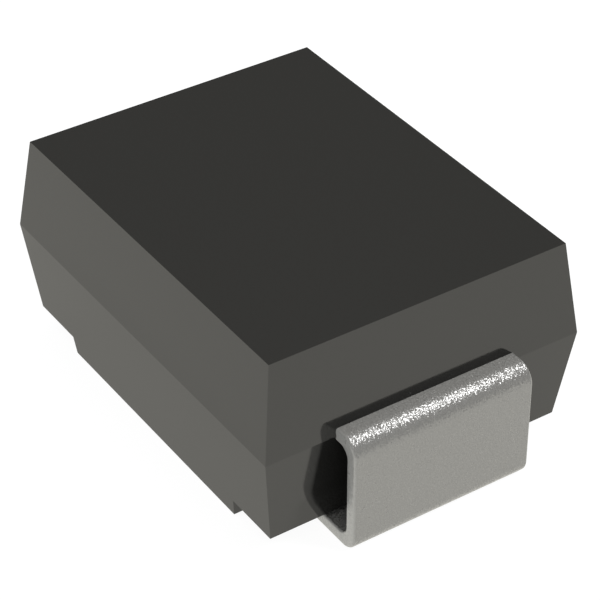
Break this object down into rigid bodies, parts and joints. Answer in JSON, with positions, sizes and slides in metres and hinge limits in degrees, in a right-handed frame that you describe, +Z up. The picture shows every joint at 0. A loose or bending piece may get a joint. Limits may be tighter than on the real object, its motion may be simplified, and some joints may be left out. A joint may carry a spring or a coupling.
{
  "type": "surface-mount tvs diode",
  "caption": "Surface-mount transient-voltage suppressor diode: drafted dark moulded block with a wide flat tin-plated lead folded under each end.",
  "frame": {"origin": "centre of the footprint, level with the soles of the feet", "axes": "+X along the body towards the lower lead, +Y across the body, +Z up, away from the board"},
  "size_m": [0.0052, 0.0036, 0.0022],
  "materials": {
    "moulding_compound": "dark grey filled epoxy, fine matte",
    "tinned_copper": "matte tin plate with a fine grain, over copper",
    "silicon": "diced silicon, grey and glossy",
    "passivation_glass": "fired glass, milky",
    "solder": "dull solder"
  },
  "bodies": {
    "root": {"moulded_case": "moulding_compound", "lower_lead": "tinned_copper", "upper_lead": "tinned_copper", "silicon_chip": "silicon", "lower_glass": "passivation_glass", "upper_glass": "passivation_glass", "lower_solder": "solder", "upper_solder": "solder"}
  },
  "joints": []
}
